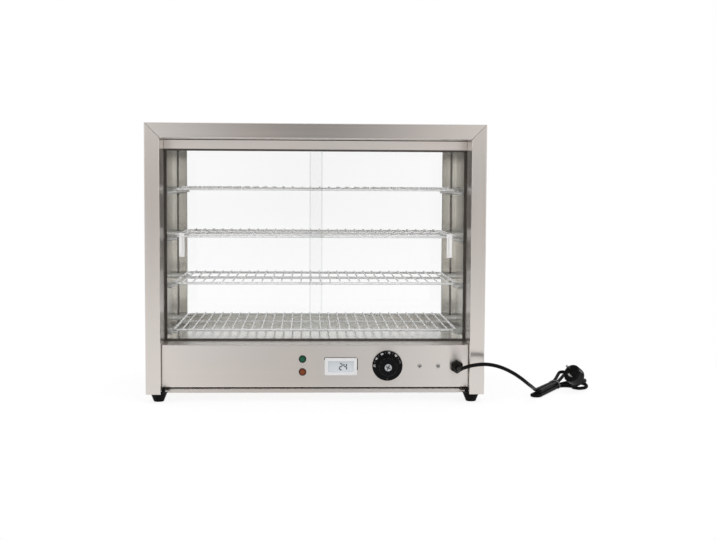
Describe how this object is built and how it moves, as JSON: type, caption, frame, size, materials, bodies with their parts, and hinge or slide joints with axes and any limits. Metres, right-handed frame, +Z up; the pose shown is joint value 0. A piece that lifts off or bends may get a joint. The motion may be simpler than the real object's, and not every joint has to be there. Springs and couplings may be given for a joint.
{
  "type": "heated display case",
  "caption": "Counter-top heated display case of folded steel with sliding glass doors, a fixed pane behind, wire shelves, a control panel and a mains cord.",
  "frame": {"origin": "on the surface it stands on, under the middle of the case with its knob, the cord aside", "axes": "+X to the right as the user faces the controls, +Y from the control side to the customer side, +Z up"},
  "size_m": [0.8902, 0.4948, 0.535],
  "materials": {
    "brushed_case": "brushed",
    "inner_steel": "satin",
    "shelf_wire": "polished",
    "peg_steel": "polished",
    "pane_glass": "clear",
    "door_glass": "clear",
    "white_plastic": "gloss",
    "seal_rubber": "matt",
    "black_track": "matt",
    "element_sheath": "oxidised",
    "foot_rubber": "matt",
    "screw_steel": "bright",
    "green_lens": "gloss",
    "amber_lens": "gloss",
    "black_plastic": "satin",
    "display_glass": "gloss",
    "thermostat_ceramic": "matt",
    "copper_bulb": "satin",
    "knob_black": "satin",
    "knob_cap_silver": "satin",
    "cord_rubber": "satin",
    "tie_strap": "satin",
    "plug_rubber": "satin",
    "pin_brass": "bright"
  },
  "bodies": {
    "case": {"top_panel": "brushed_case", "left_side_panel": "brushed_case", "right_side_panel": "brushed_case", "door_header": "brushed_case", "control_panel": "brushed_case", "customer_lower_panel": "brushed_case", "left_inner_wall": "inner_steel", "right_inner_wall": "inner_steel", "inner_ceiling": "inner_steel", "floor_plate": "inner_steel", "glass_retainer": "inner_steel", "base_pan": "inner_steel", "heat_shield": "inner_steel", "element_brackets": "inner_steel", "shelf_pegs": "peg_steel", "customer_glass": "pane_glass", "glass_gasket": "seal_rubber", "bottom_track": "black_track", "top_track": "black_track", "left_door_seal": "black_track", "right_door_seal": "black_track", "heating_element": "element_sheath", "near_left_foot": "foot_rubber", "near_right_foot": "foot_rubber", "far_left_foot": "foot_rubber", "far_right_foot": "foot_rubber", "foot_screws": "screw_steel", "terminal_screws": "screw_steel", "green_lamp_lens": "green_lens", "amber_lamp_lens": "amber_lens", "lamp_bodies": "black_plastic", "thermometer_housing": "white_plastic", "thermometer_display": "display_glass", "thermometer_probe": "screw_steel", "thermostat_body": "thermostat_ceramic", "thermostat_bulb": "copper_bulb", "terminal_block": "thermostat_ceramic", "gland_body": "black_plastic", "gland_nut": "black_plastic", "gland_locknut": "black_plastic", "cord_tail": "cord_rubber", "cord_stretch": "cord_rubber", "cord_hank": "cord_rubber", "cord_tie": "tie_strap", "plug_body": "plug_rubber", "plug_pins": "pin_brass", "plug_earth_strips": "pin_brass"},
    "left_door": {"left_door_glass": "door_glass", "left_door_pull": "white_plastic"},
    "right_door": {"right_door_glass": "door_glass", "right_door_pull": "white_plastic"},
    "dial": {"thermostat_knob": "knob_black", "knob_cap": "knob_cap_silver", "thermostat_spindle": "screw_steel"},
    "shelf_1": {"wire_shelf_1": "shelf_wire"},
    "shelf_2": {"wire_shelf_2": "shelf_wire"},
    "shelf_3": {"wire_shelf_3": "shelf_wire"},
    "shelf_4": {"wire_shelf_4": "shelf_wire"}
  },
  "joints": [
    {"name": "left_door_slide", "type": "slide", "parent": "case", "child": "left_door", "axis": [1, 0, 0], "range_m": [0, 0.283]},
    {"name": "right_door_slide", "type": "slide", "parent": "case", "child": "right_door", "axis": [-1, 0, 0], "range_m": [0, 0.283]},
    {"name": "thermostat_turn", "type": "hinge", "parent": "case", "child": "dial", "pos_m": [0.1386, -0.18825, 0.0708], "axis": [0, 1, 0], "range_deg": [0, 280]},
    {"name": "shelf_1_lift", "type": "slide", "parent": "case", "child": "shelf_1", "axis": [0, 0, 1], "range_m": [0, 0.04]},
    {"name": "shelf_2_lift", "type": "slide", "parent": "case", "child": "shelf_2", "axis": [0, 0, 1], "range_m": [0, 0.04]},
    {"name": "shelf_3_lift", "type": "slide", "parent": "case", "child": "shelf_3", "axis": [0, 0, 1], "range_m": [0, 0.04]},
    {"name": "shelf_4_lift", "type": "slide", "parent": "case", "child": "shelf_4", "axis": [0, 0, 1], "range_m": [0, 0.04]}
  ]
}
